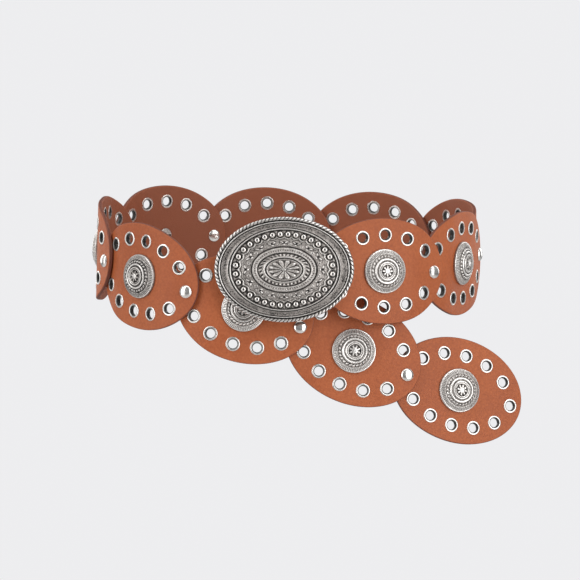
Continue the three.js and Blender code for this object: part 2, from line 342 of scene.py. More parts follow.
def hole_wall(middle, facing, radius):
    """Rows of points from the front face round a quarter circle into a hole, and out behind."""
    angle = np.linspace(0, np.pi / 2, hole_round_points)
    grown = radius + hole_round * (1 - np.sin(angle))
    out = half_thickness - hole_round * (1 - np.cos(angle))
    grown = np.concatenate([grown, grown[::-1]])
    out = np.concatenate([out, -out[::-1]])
    return at_depth(middle + grown[:, None, None] * facing, out[:, None, None])


def face_rows(border, rim, shares, out):
    """Rows of points on a flat face, at shares of the way from its border to its rim."""
    return at_depth(border + shares[:, None, None] * (rim - border), out)


def patch(border, middle, radius, shares):
    """A face from its border in to a hole, the hole's wall, and the back face out to the border."""
    facing = unit(border - middle)
    rim = middle + (radius + hole_round) * facing
    front = face_rows(border, rim, shares, half_thickness)
    back = face_rows(border, rim, shares[::-1], -half_thickness)
    return np.concatenate([front, hole_wall(middle, facing, radius), back])


def rivet_places(disc):
    """A disc's end holes that take rivets. The last disc has none at its tail."""
    return (0,) if disc is discs[-1] else (0, tail_place)


def disc_surfaces(riveted):
    """Flat grids that together close a disc: one round each hole, the middle, and the edge."""
    surfaces = []
    for place, middle in enumerate(hole_middles()):
        low, high = (2 * place - 1) / (2 * hole_places), (2 * place + 1) / (2 * hole_places)
        shares = np.linspace(low, high, arc_steps + 1)
        top = oval(outline_size, shares, edge_inset)
        bottom = oval(inner_size, shares)
        down = top[-1] + side_shares * (bottom[-1] - top[-1])
        up = bottom[0] + side_shares * (top[0] - bottom[0])
        border = np.concatenate([top, down, bottom[::-1], up])
        radius = rivet_hole_radius if place in riveted else eyelet_hole_radius
        surfaces.append(patch(border, middle, radius, hole_shares))
    round_shares = (np.arange(outline_steps) - arc_steps / 2) / outline_steps
    inner = oval(inner_size, round_shares)
    surfaces.append(patch(inner, np.zeros(2), screw_hole_radius, middle_shares))
    half = [(row["inset"], row["out"]) for row in edge_profile]
    whole = half + [(inset, -out) for inset, out in half[-2::-1]]
    rows = [at_depth(oval(outline_size, round_shares, inset), out) for inset, out in whole[::-1]]
    surfaces.append(np.array(rows))
    return surfaces


def add_piece(name, surfaces, masks, mask_name, material):
    """One object from grids of points by row and column, with one mask value a point. Each row
    closes on itself. Points that coincide are merged, so seams and poles close."""
    quads = []
    start = 0
    for surface in surfaces:
        rows, columns = surface.shape[:2]
        here = start + np.arange(rows * columns).reshape(rows, columns)
        after = np.roll(here, -1, axis=1)
        corners = [here[:-1], here[1:], after[1:], after[:-1]]
        quads.append(np.stack(corners, axis=-1).reshape(-1, 4))
        start += here.size
    points = np.concatenate([surface.reshape(-1, 3) for surface in surfaces]) * millimetre
    quads = np.concatenate(quads)
    mesh = bpy.data.meshes.new(name)
    mesh.vertices.add(len(points))
    mesh.vertices.foreach_set("co", points.ravel())
    mesh.loops.add(quads.size)
    mesh.loops.foreach_set("vertex_index", quads.ravel())
    mesh.polygons.add(len(quads))
    mesh.polygons.foreach_set("loop_start", np.arange(0, quads.size, 4))
    mesh.update(calc_edges=True)
    mask = mesh.attributes.new(mask_name, "FLOAT", "POINT")
    mask.data.foreach_set("value", np.concatenate([values.ravel() for values in masks]))
    shell = bmesh.new()
    shell.from_mesh(mesh)
    bmesh.ops.remove_doubles(shell, verts=shell.verts, dist=merge_distance)
    shell.to_mesh(mesh)
    shell.free()
    mesh.shade_smooth()
    mesh.materials.append(material)
    piece = add_object(name, mesh)
    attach(piece, "root")
    return piece


def math_node(tree, operation, first, second=0.0):
    """One step of arithmetic on values or sockets."""
    return add_node(tree, "ShaderNodeMath", {0: first, 1: second}, operation=operation).outputs[0]


def step_node(tree, value, low, high, start=0.0, end=1.0):
    """Goes smoothly from start to end as a value goes from low to high."""
    inputs = {"Value": value, "From Min": low, "From Max": high, "To Min": start, "To Max": end}
    return add_node(tree, "ShaderNodeMapRange", inputs, interpolation_type="SMOOTHSTEP").outputs[0]


def mix_node(tree, share, first, second):
    """A colour between two colours."""
    inputs = {0: share, 6: first, 7: second}
    return add_node(tree, "ShaderNodeMix", inputs, data_type="RGBA").outputs[2]


def mask_node(tree, name):
    """The mask that a piece's points carry."""
    return add_node(tree, "ShaderNodeAttribute", attribute_name=name).outputs["Fac"]


def place_node(tree):
    """The place of a point on its piece, in metres."""
    return add_node(tree, "ShaderNodeTexCoord").outputs["Object"]


def noise_node(tree, place, scale, detail):
    """Noise over the surface, with its scale in waves a metre."""
    inputs = {"Vector": place, "Scale": scale, "Detail": detail}
    return add_node(tree, "ShaderNodeTexNoise", inputs).outputs["Fac"]


def bump_node(tree, height, strength, distance, under=None):
    """A normal tipped by a height, whose 1 is a distance in metres, over the surface's own normal
    or another."""
    inputs = {"Height": height, "Strength": strength, "Distance": distance}
    if under is not None:
        inputs["Normal"] = under
    return add_node(tree, "ShaderNodeBump", inputs).outputs[0]


def new_group(name, inputs, outputs):
    """An empty node group with its inputs, all of them numbers, and its outputs by their kind."""
    group = bpy.data.node_groups.new(name, "ShaderNodeTree")
    for socket in inputs:
        group.interface.new_socket(socket, in_out="INPUT", socket_type="NodeSocketFloat")
    for socket, kind in outputs.items():
        group.interface.new_socket(socket, in_out="OUTPUT", socket_type=kind)
    return group, add_node(group, "NodeGroupInput").outputs


def noise_group():
    """Two sizes of noise over the surface, added up: uneven tone in a coating or a casting."""
    inputs = ("Coarse Scale", "Fine Scale", "Fine Share")
    group, given = new_group("uneven", inputs, {"Value": "NodeSocketFloat"})
    place = place_node(group)
    coarse = noise_node(group, place, given["Coarse Scale"], detail=3.0)
    fine = noise_node(group, place, given["Fine Scale"], detail=2.0)
    fine_part = math_node(group, "MULTIPLY", fine, given["Fine Share"])
    coarse_share = math_node(group, "SUBTRACT", 1.0, given["Fine Share"])
    coarse_part = math_node(group, "MULTIPLY", coarse, coarse_share)
    total = math_node(group, "ADD", coarse_part, fine_part)
    add_node(group, "NodeGroupOutput", {"Value": total})
    return group


uneven = noise_group()


def uneven_node(tree, coarse_scale, fine_scale, fine_share):
    """A value about one half that varies over the surface at two scales."""
    inputs = {"Coarse Scale": coarse_scale, "Fine Scale": fine_scale, "Fine Share": fine_share}
    return add_node(tree, "ShaderNodeGroup", inputs, node_tree=uneven).outputs["Value"]


def coat(tree, colour, metal, roughness, others):
    """Finishes a material with one coat: a Principled shader with these inputs."""
    inputs = {"Base Color": colour, "Metallic": metal, "Roughness": roughness, **others}
    finish_material(tree, add_node(tree, "ShaderNodeBsdfPrincipled", inputs))


deep_tan = (0.385, 0.090, 0.026, 1)
light_tan = (0.495, 0.133, 0.044, 1)
back_brown = (0.30, 0.085, 0.038, 1)
painted_edge = (0.22, 0.068, 0.04, 1)
seam_shadow = (0.07, 0.022, 0.014, 1)


def faux_leather():
    """Tan coating with a fine pebble and uneven tone, a darker painted edge with the two plies'
    seam along it, and a duller back. The mask is a point's distance out from between the plies."""
    material, tree = new_material("faux_leather")
    depth = mask_node(tree, "leather_depth")
    from_middle = math_node(tree, "ABSOLUTE", depth)
    unevenness = uneven_node(tree, coarse_scale=28.0, fine_scale=650.0, fine_share=0.55)
    tone = step_node(tree, unevenness, low=0.3, high=0.7)
    face = mix_node(tree, tone, deep_tan, light_tan)
    backing = step_node(tree, depth, low=-1.25, high=-1.29)
    face = mix_node(tree, backing, face, back_brown)
    edge = step_node(tree, from_middle, low=1.285, high=1.10)
    face = mix_node(tree, edge, face, painted_edge)
    seam = step_node(tree, from_middle, low=0.16, high=0.04)
    face = mix_node(tree, seam, face, seam_shadow)
    place = place_node(tree)
    pebble = add_node(tree, "ShaderNodeTexVoronoi", {"Vector": place, "Scale": 1500.0})
    grain = noise_node(tree, place, scale=2600.0, detail=2.0)
    swell = noise_node(tree, place, scale=90.0, detail=1.0)
    height = math_node(tree, "ADD", pebble.outputs["Distance"], grain)
    fine_bump = bump_node(tree, height, strength=0.7, distance=0.00015)
    bump = bump_node(tree, swell, strength=0.35, distance=0.0006, under=fine_bump)
    roughness = step_node(tree, tone, low=0.0, high=1.0, start=0.50, end=0.60)
    coat(tree, face, 0.0, roughness, {"Specular IOR Level": 0.4, "Normal": bump})
    return material


leather = faux_leather()
for disc in discs:
    surfaces = disc_surfaces(rivet_places(disc))
    piece = add_piece(
        f"leather_disc_{disc['name']}",
        [lay(disc, surface) for surface in surfaces],
        [surface[..., 2] for surface in surfaces],
        "leather_depth",
        leather,
    )
    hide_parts(f"disc_{disc['name']}")

# Eyelets
# Ten nickel-plated brass eyelets ring each disc, and an eleventh takes the rivet's place on the
# last. Each is a barrel set through the leather, with a rolled flange in front and behind.
barrel_radius = 2.9
barrel_outside = 3.2
flange_radius = 4.65
flange_crest = 4.0
flange_height = 0.5
back_flange_height = 0.28
flange_gap = 0.04
throat_depth = 1.0
# Painted shade in the eyelet's throat: full inside the first radius, gone by the second.
shaded_throat_radius = 3.45
unshaded_radius = 3.85
eyelet_curve_points = 6
eyelet_sides = 26
dull_nickel = (0.86, 0.83, 0.79, 1)
bright_nickel = (0.96, 0.93, 0.90, 1)
# The near-black colour of the painted shade inside the eyelets' throats.
throat_painted_shade = (0.035, 0.032, 0.03, 1)


def climb(place, low, high):
    """0 below low and 1 above high, with a smooth S between."""
    share = np.clip((place - low) / (high - low), 0, 1)
    return share * share * (3 - 2 * share)


def round_angles(sides):
    """Even angles once round."""
    return np.linspace(0, 2 * np.pi, sides, endpoint=False)


def turned_surface(outline, sides):
    """An outline of (radius, height) points spun once round, going out in front and in behind."""
    radius, height = np.array(outline).T[..., None]
    return at_depth(ellipse(radius, radius, round_angles(sides)), height[..., None])


def eyelet_outline():
    """The eyelet's wall as a closed line: from the throat over the front flange, down outside the
    barrel, round behind and back up inside it. Throat and flange are two quarters of ovals that
    meet at the crest, pressed flat behind."""
    angle = np.linspace(0, np.pi / 2, eyelet_curve_points)
    throat_width = flange_crest - barrel_radius
    rolled_width = flange_radius - flange_crest
    crest = half_thickness + flange_height
    seat = half_thickness + flange_gap
    drop = flange_height + throat_depth
    over = [
        (flange_crest - throat_width * np.cos(a), crest - drop * (1 - np.sin(a))) for a in angle
    ]
    over += [
        (flange_crest + rolled_width * np.sin(a), crest - (crest - seat) * (1 - np.cos(a)))
        for a in angle[1:]
    ]
    over.append((barrel_outside, seat))
    back_crest = half_thickness + back_flange_height
    back = [(radius, -min(height, back_crest)) for radius, height in reversed(over)]
    return over + back + over[:1]


def plated_metal(name, smoothest, roughest):
    """Bright nickel plate, a little uneven in its gloss, with painted shade where its polish mask
    is
    low: near black and not metallic."""
    material, tree = new_material(name)
    tone = uneven_node(tree, coarse_scale=160.0, fine_scale=1900.0, fine_share=0.4)
    bright = mix_node(tree, tone, dull_nickel, bright_nickel)
    polish = mask_node(tree, "polish")
    colour = mix_node(tree, polish, throat_painted_shade, bright)
    roughness = step_node(tree, tone, low=0.3, high=0.7, start=smoothest, end=roughest)
    coat(tree, colour, polish, roughness, {})
    return material


eyelet_metal = plated_metal("polished_silver_eyelet", smoothest=0.23, roughest=0.32)
eyelet = turned_surface(eyelet_outline(), eyelet_sides)
# Painted shade: the wall within 3.45 mm of the axis, down the throat and barrel, is near black,
# fading to bright plate by 3.85 mm.
from_axis = np.hypot(eyelet[..., 0], eyelet[..., 1])
eyelet_unshaded = climb(from_axis, shaded_throat_radius, unshaded_radius)
for disc in discs:
    riveted = rivet_places(disc)
    middles = [middle for place, middle in enumerate(hole_middles()) if place not in riveted]
    piece = add_piece(
        f"eyelets_{disc['name']}",
        [lay(disc, eyelet + np.append(middle, 0)) for middle in middles],
        [eyelet_unshaded] * len(middles),
        "polish",
        eyelet_metal,
    )

# Conchos
# A domed casting in antiqued silver sits on the middle of each disc. Rings, a roped ring, a reeded
# brim and an eight-petalled flower stand on it. A slotted screw post holds it from behind.
concho_radius = 14.2
concho_dome = 5.2
concho_drop = 3.9
dome_fullness = 2.6
concho_sides = 288
concho_rows = 43
brim_band = (10.8, 11.2, 13.2, 13.6)
brim_lift = 0.06
reeds = 72
reed_rise = 0.16
reed_ring = 12.4
reed_pit_ring = 12.2
rope_radius = 9.6
rope_turns = 26
rope_slant = 1.8
petals = 8
petal_reach = 3.1
flower_edge = (4.0, 4.4)
flower_depth = 0.75
rest_gap = 0.02
foot_width = 0.6
hollow_radius = 12.6
hollow_rise = 0.7
hollow_crown = 0.9
screw_shank = 1.9
screw_head_radius = 4.6
screw_head_height = 1.2
screw_head_round = 0.25
screw_head_bevel = 0.4
screw_face_radius = screw_head_radius - 0.6
screw_face_rows = 9
slot_depth = 0.6
full_polish_rise = 0.65
darkest_finish = 0.18
screw_finish = 0.55
# Painted shade: the conchos of discs 02 and 08 get a lower finish, darker and less metallic.
concho_painted_shade = {"02": 0.05, "08": 0.18}
ridge_columns = ("name", "at", "half_width", "rise")
concho_ridges = table(
    ridge_columns,
    ("lip", 13.85, 0.4, 0.35),
    ("brim_groove", 10.5, 0.45, -0.5),
    ("rope_groove", 8.75, 0.5, -0.6),
    ("broad_ring", 7.8, 0.85, 0.5),
    ("broad_groove", 6.5, 0.5, -0.4),
    ("fine_ring", 5.6, 0.5, 0.45),
    ("fine_groove", 4.95, 0.3, -0.3),
    ("pit_edge", 4.5, 0.35, 0.3),
)
blackened = (0.020, 0.018, 0.017, 1)
grey_silver = (0.45, 0.415, 0.39, 1)
bright_silver = (0.93, 0.90, 0.87, 1)


def ridge(place, at, half_width, rise):
    """A round-topped ridge: half a cosine wave up from either side to its middle."""
    away = np.clip(np.abs(place - at) / half_width, 0, 1)
    return rise * 0.5 * (1 + np.cos(np.pi * away))


def all_ridges(place, rows):
    """The ridges of a table, added up."""
    return sum(ridge(place, row["at"], row["half_width"], row["rise"]) for row in rows)


def fade(place, low, high):
    """1 below low and 0 above high, with a smooth S between."""
    return 1 - climb(place, low, high)


def band(place, low, full, held, gone):
    """0 up to low, 1 from full to held, and 0 again where gone."""
    return climb(place, low, full) * fade(place, held, gone)


def mark(away, rise, level, edge):
    """A small mark that keeps its rise out to level and has none past its edge."""
    return rise * fade(away, level, edge)


def beside_nearest(share, count, pitch, start=0.0):
    """How far along a ring a point is from the nearest of a count of even places, from its share of
    the way round. The first place is at start, as a share of a step."""
    return (np.mod(share * count - start + 0.5, 1) - 0.5) * pitch


def concho_relief(radius, angle):
    """Height of the ornament over the plain dome: plain rings, a brim whose reeds are a cosine of
    the angle with a pit in each trough, a roped ring whose strands are a squared cosine, and a
    flower of round-ended rays in a pit."""
    share = angle / (2 * np.pi)
    relief = all_ridges(radius, concho_ridges)
    relief = relief + band(radius, *brim_band) * (reed_rise * np.cos(reeds * angle) + brim_lift)
    beside = beside_nearest(share, reeds, 2 * np.pi * reed_ring / reeds, start=0.5)
    from_pit = np.hypot(beside, 0.7 * (radius - reed_pit_ring))
    relief = relief + mark(from_pit, rise=-0.12, level=0.10, edge=0.45)
    twist = rope_turns * angle + rope_slant * (radius - rope_radius)
    rope = ridge(radius, rope_radius, half_width=0.85, rise=0.65)
    relief = relief + rope * (1.4 * np.cos(twist / 2) ** 2 - 0.4)
    off_ray = beside_nearest(share, petals, 2 * np.pi / petals)
    past_end = np.maximum(radius * np.cos(off_ray) - petal_reach, 0)
    ray = mark(np.hypot(past_end, radius * np.sin(off_ray)), rise=0.88, level=0.42, edge=0.86)
    centre = mark(radius, rise=1.15, level=1.4, edge=2.0)
    ground = mark(radius, rise=0.5, level=2.3, edge=3.3)
    flower = np.maximum(np.maximum(ray, centre), ground) - flower_depth
    return relief + fade(radius, *flower_edge) * flower


def concho_surface():
    """The casting's front, its hollow underside, the post and the slotted head behind, as one
    closed surface in the disc's own axes, with its relief as a mask."""
    angle = round_angles(concho_sides)
    radius = np.linspace(0, concho_radius, concho_rows)[:, None]
    dome = concho_dome - concho_drop * (radius / concho_radius) ** dome_fullness
    relief = concho_relief(radius, angle)
    rim = half_thickness + concho_dome - concho_drop
    seat = half_thickness + rest_gap
    behind = -half_thickness
    head_back = behind - screw_head_height
    outline = [
        (concho_radius + 0.05, rim - 0.35),
        (concho_radius, seat),
        (concho_radius - foot_width, seat),
        (hollow_radius, half_thickness + hollow_rise),
        (screw_shank, half_thickness + hollow_crown),
        (screw_shank, behind - rest_gap),
        (screw_head_radius - screw_head_round, behind - rest_gap),
        (screw_head_radius, behind - screw_head_round),
        (screw_head_radius, head_back + screw_head_bevel),
        (screw_head_radius - 0.3 * screw_head_bevel, head_back + 0.375 * screw_head_bevel),
        (screw_head_radius - screw_head_bevel, head_back),
    ]
    outline += [(r, head_back) for r in np.linspace(screw_face_radius, 0, screw_face_rows)]
    back_radius, back_height = np.array(outline).T[..., None]
    across = np.abs(back_radius * np.sin(angle))
    on_face = (back_height == head_back) & (back_radius <= screw_face_radius)
    slot = on_face * mark(across, rise=slot_depth, level=0.45, edge=0.6)
    radii = np.concatenate([radius, back_radius])
    height = np.concatenate([half_thickness + dome + relief, back_height + slot])
    surface = at_depth(ellipse(radii, radii, angle), height[..., None])
    finish = np.clip(0.5 + relief / full_polish_rise, darkest_finish, 1)
    return surface, np.concatenate([finish, screw_finish - slot])


def patina_group():
    """Antiqued metal from its relief: polished where it stands up, blackened where it sinks, and
    uneven between."""
    number = "NodeSocketFloat"
    outputs = {"Colour": "NodeSocketColor", "Metal": number, "Roughness": number}
    group, given = new_group("patina", ("Relief", "Polish"), outputs)
    unevenness = uneven_node(group, coarse_scale=220.0, fine_scale=1400.0, fine_share=0.75)
    wear = math_node(group, "MULTIPLY", unevenness, 1.3)
    level = math_node(group, "ADD", given["Relief"], wear)
    level = math_node(group, "SUBTRACT", level, 0.65)
    level = math_node(group, "ADD", level, given["Polish"])
    middle = step_node(group, level, low=0.12, high=0.50)
    top = step_node(group, level, low=0.50, high=0.92)
    colour = mix_node(group, middle, blackened, grey_silver)
    colour = mix_node(group, top, colour, bright_silver)
    metal = step_node(group, level, low=0.05, high=0.40, start=0.35, end=1.0)
    roughness = step_node(group, level, low=0.3, high=1.5, start=0.60, end=0.12)
    add_node(group, "NodeGroupOutput", {"Colour": colour, "Metal": metal, "Roughness": roughness})
    return group


patina = patina_group()


def antique_metal(name, polish, grain_strength):
    """Cast metal with an antique finish and a faint cast grain."""
    material, tree = new_material(name)
    # The relief mask also carries painted shade: on conchos 02 and 08, round the buckle's beads, in
    # its cove, and a painted dark reflection on the beads' crowns.
    inputs = {"Relief": mask_node(tree, "relief"), "Polish": polish}
    worn = add_node(tree, "ShaderNodeGroup", inputs, node_tree=patina).outputs
    grain = noise_node(tree, place_node(tree), scale=1300.0, detail=3.0)
    bump = bump_node(tree, grain, grain_strength, distance=0.0001)
    coat(tree, worn["Colour"], worn["Metal"], worn["Roughness"], {"Normal": bump})
    return material


concho_metal = antique_metal("antique_silver_concho", polish=0.06, grain_strength=0.4)
concho, concho_mask = concho_surface()
# Each concho's finish follows its relief, less the painted shade given to its disc.
for disc in discs:
    piece = add_piece(
        f"cast_concho_{disc['name']}",
        [concho @ disc["axes"] + disc["middle"]],
        [concho_mask - concho_painted_shade.get(disc["name"], 0.0)],
        "relief",
        concho_metal,
    )
    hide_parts(f"concho_{disc['name']}")

# Link rivets
# A double-cap rivet joins each pair of discs and lets them swivel. Its two polished caps are
# pressed together through the lap, the front one domed and the back one flatter.
cap_radius = 4.45
cap_height = 2.3
back_cap_radius = 4.2
back_cap_height = 1.4
back_cap_gap = 0.12
cap_points = 14
rivet_shank = 2.0
rivet_sides = 48


def cap_outline(radius, height, seat):
    """Half a cap's section from its crown to its seat: an oval with other powers than squares."""
    share = np.sin(np.linspace(0, np.pi / 2, cap_points))
    crown = (1 - share**2.6) ** (1 / 1.9)
    return [(radius * s, seat + height * c) for s, c in zip(share, crown)]


def back_cap_outline(seat):
    """The back cap's section from its seat to its crown, out behind the leather."""
    outline = cap_outline(back_cap_radius, back_cap_height, seat)
    return [(radius, -height) for radius, height in reversed(outline)]


def rivet_surface():
    """Front cap, shank and back cap spun as one, from the outer disc's face to behind the lap."""
    seat = half_thickness + rest_gap
    back_seat = lap_step + half_thickness + back_cap_gap
    shank = [(rivet_shank, seat), (rivet_shank, -back_seat)]
    outline = cap_outline(cap_radius, cap_height, seat) + shank + back_cap_outline(back_seat)
    return turned_surface(outline, rivet_sides)


def axes_along(normal):
    """Axes that stand on a normal, with their first as level as can be."""
    level = unit(np.cross([0.0, 0.0, 1.0], normal))
    return np.array([level, np.cross(normal, level), normal])


def add_polished(name, surface):
    """A piece in polished plate all over."""
    return add_piece(name, [surface], [np.ones(surface.shape[:2])], "polish", rivet_metal)


rivet_metal = plated_metal("polished_silver_rivet", smoothest=0.16, roughest=0.25)
rivet = rivet_surface()
for disc in discs[:-1]:
    surface = rivet @ axes_along(disc["tail_normal"]) + lay(disc, tail_rivet)
    piece = add_polished(f"cap_rivet_{disc['name']}", surface)
    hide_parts(f"link_rivet_{disc['name']}")

# The buckle
# One oval zinc casting in antique silver, curved to the waist, with a twisted rope edge, rings,
# beads and chased leaves. A hook soldered behind it goes through an eyelet of the ninth disc.
buckle_middle = np.array([-3.8, -105.8, 2.5])
buckle_axes = axes_of(yaw=0.0, lean=3.0, roll=0.0)
bend_across = 150.0
bend_up = 300.0
buckle_sides = 384
ring_spacing = 0.28
buckle_rings = table(
    ("name", "half_width", "half_height", "height"),
    ("rope_middle", 43.3, 32.1, 2.3),
    ("rope_groove", 42.5, 31.2, 2.5),
    ("outer_ridge", 41.3, 30.2, 2.9),
    ("cove_foot", 40.3, 29.5, 2.75),
    ("cove", 37.3, 27.7, 2.2),
    ("cove_top", 35.4, 26.7, 2.9),
    ("inner_ridge", 34.4, 25.9, 3.1),
    ("channel", 33.2, 24.8, 2.3),
    ("beads", 31.2, 22.6, 2.2),
    ("scallops", 30.2, 21.5, 2.2),
    ("plateau", 29.7, 21.0, 3.6),
    ("plateau_foot", 20.9, 14.6, 4.0),
    ("ladder_rim", 19.9, 13.4, 4.8),
    ("ladder", 17.5, 11.2, 4.8),
    ("garland", 16.6, 10.3, 4.3),
    ("garland_end", 13.5, 8.6, 4.4),
    ("inner_oval", 12.6, 7.9, 4.9),
    ("field", 11.4, 7.0, 4.6),
    ("middle", 0.0, 0.0, 4.7),
)
buckle_ridges = table(
    ridge_columns,
    ("rope_groove", 42.35, 0.65, -1.0),
    ("outer_ridge", 41.5, 0.55, 0.75),
    ("ridge_foot", 40.65, 0.55, -0.6),
    ("cove", 38.4, 2.2, -0.14),
    ("cove_line", 36.1, 0.4, 0.25),
    ("inner_foot", 35.35, 0.6, -0.65),
    ("inner_ridge", 34.4, 0.55, 0.8),
    ("channel_groove", 33.55, 0.5, -0.4),
    ("scallop_line", 29.5, 0.9, 0.85),
    ("scallop_groove", 28.1, 0.7, -0.22),
    ("plateau_groove", 20.9, 0.6, -0.6),
    ("ladder_rim", 19.85, 0.65, 0.22),
    ("ladder_line", 17.7, 0.5, 0.32),
    ("garland_groove", 16.75, 0.6, -0.6),
    ("inner_oval", 12.8, 0.75, 0.5),
    ("field_groove", 11.75, 0.55, -0.65),
    ("field_line", 11.0, 0.4, 0.35),
)
end_spread = 0.065
bead_count = 32
bead_ring = 31.2
bead_pitch = 5.3
ring_at, ring_up, ring_height = (
    np.array([row[column] for row in reversed(buckle_rings)])
    for column in ("half_width", "half_height", "height")
)


def dish_drop(across, up):
    """How far the casting falls back at a point, as on a shallow bowl."""
    return across**2 / (2 * bend_across) + up**2 / (2 * bend_up)


def over_dish(across, up, height):
    """Points at a height over that bowl."""
    return np.stack([across, up, height - dish_drop(across, up)], axis=-1)


def even_angles(count, at, start=0.0):
    """Angles whose points lie by length round one of the buckle's ovals, a little wider apart at
    its two ends as a cosine, the first a share of a step past the right-hand end."""
    fine = ellipse(at, np.interp(at, ring_at, ring_up), fine_angles)
    lengths = lengths_along(fine)
    reached = (np.arange(count) + start) / count
    reached = reached + end_spread * np.sin(4 * np.pi * reached) / (4 * np.pi)
    return np.interp(reached * lengths[-1], lengths, fine_angles)


leaves = 16
leaf_pitch = 8.2
leaf_bead_ring = 23.0
leaf_eye_ring = 23.2
leaf_pit_ring = 24.5
leaf_ring = 25.0
leaf_beside = 1.5
leaf_lean = (0.75, 0.66)
stem_ring = 26.8
stem_swing = 0.8
chased_ground = 0.06


def chased_leaves(at, share):
    """Chasing on the plateau. Each unit has a bead with a pit over it and a pair of leaves, each an
    oval turned outwards. A stem waves round outside them as a cosine, and a ring with a pit in it
    stands between each two units."""
    along = beside_nearest(share, leaves, leaf_pitch)
    beside = np.abs(along)
    wave = stem_ring - stem_swing * np.cos(2 * np.pi * leaves * share)
    stem = ridge(at, wave, half_width=0.5, rise=0.25)
    bead = mark(np.hypot(along, at - leaf_bead_ring), rise=0.45, level=0.35, edge=0.7)
    pit = mark(np.hypot(along, 0.7 * (at - leaf_pit_ring)), rise=-0.4, level=0.3, edge=0.8)
    cosine, sine = leaf_lean
    lengthways = cosine * (beside - leaf_beside) + sine * (at - leaf_ring)
    sideways = cosine * (at - leaf_ring) - sine * (beside - leaf_beside)
    leaf = mark(np.hypot(lengthways / 1.3, sideways / 0.5), rise=0.40, level=0.5, edge=1.0)
    outline = -0.18 * band(np.hypot(lengthways / 1.6, sideways / 0.9), 0.7, 0.9, 1.1, 1.4)
    from_eye = np.hypot(leaf_pitch / 2 - beside, at - leaf_eye_ring)
    eye = ridge(from_eye, at=0.75, half_width=0.4, rise=0.35)
    eye = eye + mark(from_eye, rise=-0.3, level=0.15, edge=0.45)
    return stem + bead + pit + leaf + outline + eye


rosette_petals = 12
rosette_radius = 9.9
petal_shoulder = 0.74


def rosette(at, angle):
    """Teardrop petals, each half of an oval in section, as wide as its share of the circle and
    rounded off as a circle past its shoulder, with a bead near the tip, a hollow along it and a
    small boss in the middle. They stand in a sunk ground with a deeper line round each."""
    side = 2 * np.abs(beside_nearest(angle / (2 * np.pi), rosette_petals, 1.0, start=0.5))
    share = at / rosette_radius
    past = np.clip((share - petal_shoulder) / (1 - petal_shoulder), 0, 1)
    width = 0.86 * np.sqrt(np.clip(1 - past**2, 1e-6, 1)) * climb(share, 0.02, 0.30)
    around = side / np.maximum(width, 1e-3)
    petal = 0.65 * np.sqrt(np.clip(1 - around**2, 0, 1)) * (share < 1)
    hollow = mark(around, rise=-0.22, level=0.1, edge=0.5)
    petal = petal + band(share, 0.35, 0.5, 0.70, 0.78) * hollow
    bead = mark(np.hypot((share - 0.86) * 8, side * 1.6), rise=0.85, level=0.35, edge=0.85)
    boss = mark(share, rise=0.6, level=0.08, edge=0.15)
    ground = 0.16 + mark(around, rise=0.26, level=1.05, edge=1.35)
    return np.maximum(np.maximum(petal, bead), boss) - ground * fade(share, 1.0, 1.06)


plateau_band = (21.0, 21.8, 28.3, 28.7)
ladder_band = (18.2, 18.4, 19.1, 19.3)
garland_band = (13.8, 14.3, 15.8, 16.3)
field_edge = (10.6, 11.0)
dot_ring = 32.4
rungs = 64
rung_rise = 0.22
teeth = 32
tooth_rise = 0.32
tooth_slant = 1.5
garland_middle = 15
sunk_ground = 0.08


def buckle_relief(at, share, angle):
    """Height of the ornament over the plain rings, from the half width of the ring, the share of
    the way round, and the angle: the ridges, a ladder of rungs and a garland of slanted teeth as
    cosines, the leaves, a dot between each two beads outside them, and the rosette."""
    relief = all_ridges(at, buckle_ridges)
    rung = rung_rise * np.cos(2 * np.pi * rungs * share) - sunk_ground
    relief = relief + band(at, *ladder_band) * rung
    slant = tooth_slant * (at - garland_middle) * np.cos(angle)
    tooth = tooth_rise * np.cos(2 * np.pi * teeth * share + slant) - sunk_ground
    relief = relief + band(at, *garland_band) * tooth
    relief = relief + band(at, *plateau_band) * (chased_leaves(at, share) - chased_ground)
    from_dot = np.hypot(beside_nearest(share, bead_count, bead_pitch), at - dot_ring)
    relief = relief + mark(from_dot, rise=0.25, level=0.25, edge=0.65)
    return relief + rosette(at, angle) * fade(at, *field_edge)


channel_band = (29.9, 30.2, 33.6, 34.0)
scallop_depth = 1.6
scallop_reach = {"at": 29.6, "half_width": 3.2, "rise": 1.0}
buckle_polish_rise = 0.9
# Painted shade: the finish is lowered a little across the cove.
cove_painted_shade = {"at": 38.2, "half_width": 2.6, "rise": -0.04}
scallop_finish = {"at": 29.5, "half_width": 1.1, "rise": 0.5}


